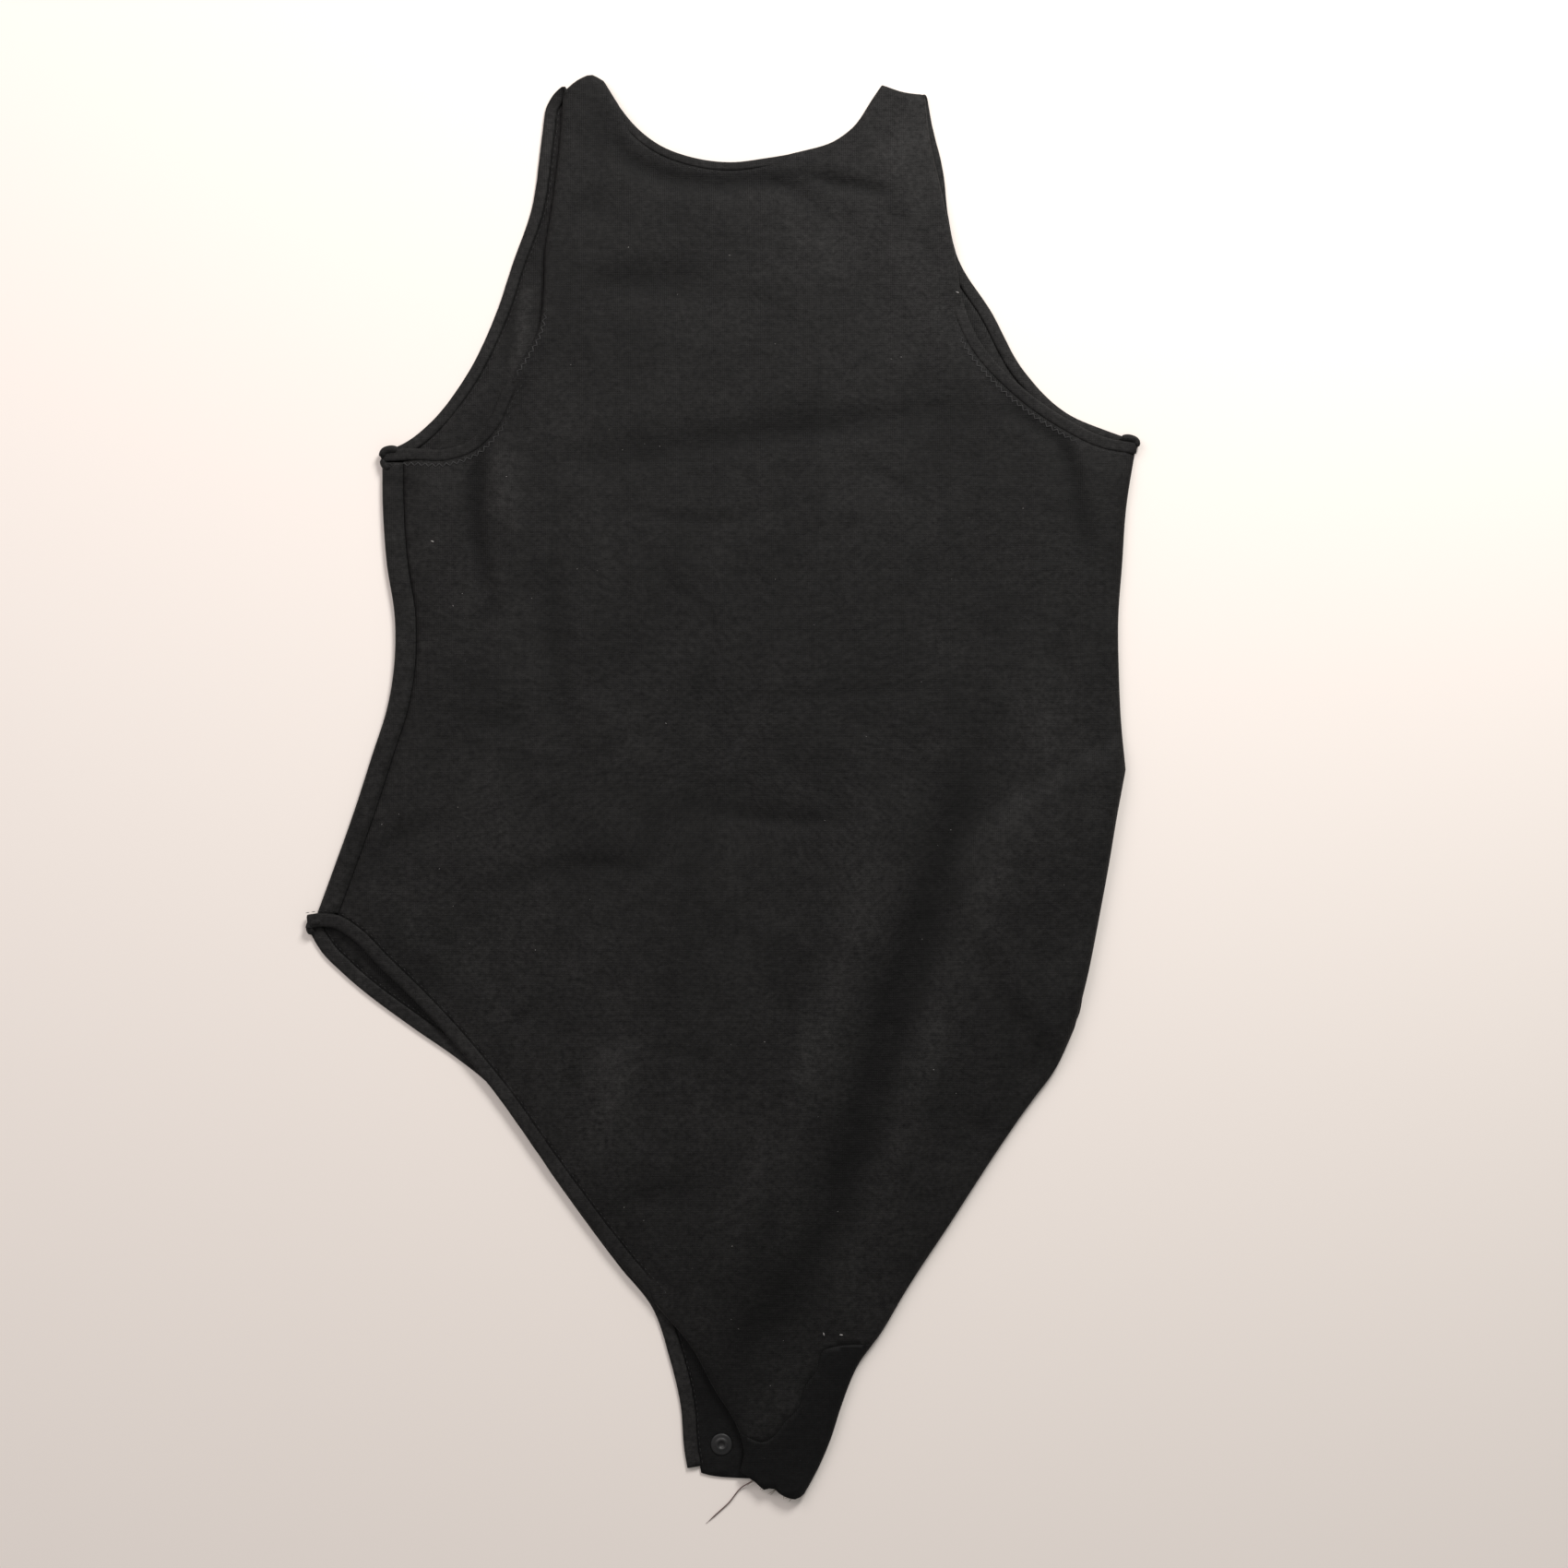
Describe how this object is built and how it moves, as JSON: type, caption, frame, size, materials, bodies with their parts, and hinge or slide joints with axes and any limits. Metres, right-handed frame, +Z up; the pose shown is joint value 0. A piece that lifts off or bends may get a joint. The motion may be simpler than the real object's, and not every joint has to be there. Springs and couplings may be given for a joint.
{
  "type": "leotard",
  "caption": "Sleeveless high-necked leotard in black jersey with banded neck, armholes and leg openings and an open snap crotch, laid flat front up.",
  "frame": {"origin": "middle of the garment's plan on the surface it lies on", "axes": "+Z up from the surface, +Y from crotch to neck, +X to the right of someone looking down on it"},
  "size_m": [0.4214, 0.7168, 0.0085],
  "materials": {
    "black_jersey": "matt knitted cotton jersey, faded black",
    "black_band": "matt elasticated jersey band, faded black",
    "black_tab": "matt folded jersey tab, black",
    "black_snap": "black press stud"
  },
  "bodies": {
    "root": {"front_panel": "black_jersey", "back_panel": "black_jersey", "hip_fold": "black_jersey", "neck_band": "black_band", "armhole_band_left": "black_band", "armhole_band_right": "black_band", "leg_band_left": "black_band", "leg_band_right": "black_band", "crotch_tab_front": "black_tab", "crotch_tab_back": "black_tab", "crotch_snap": "black_snap"}
  },
  "joints": []
}
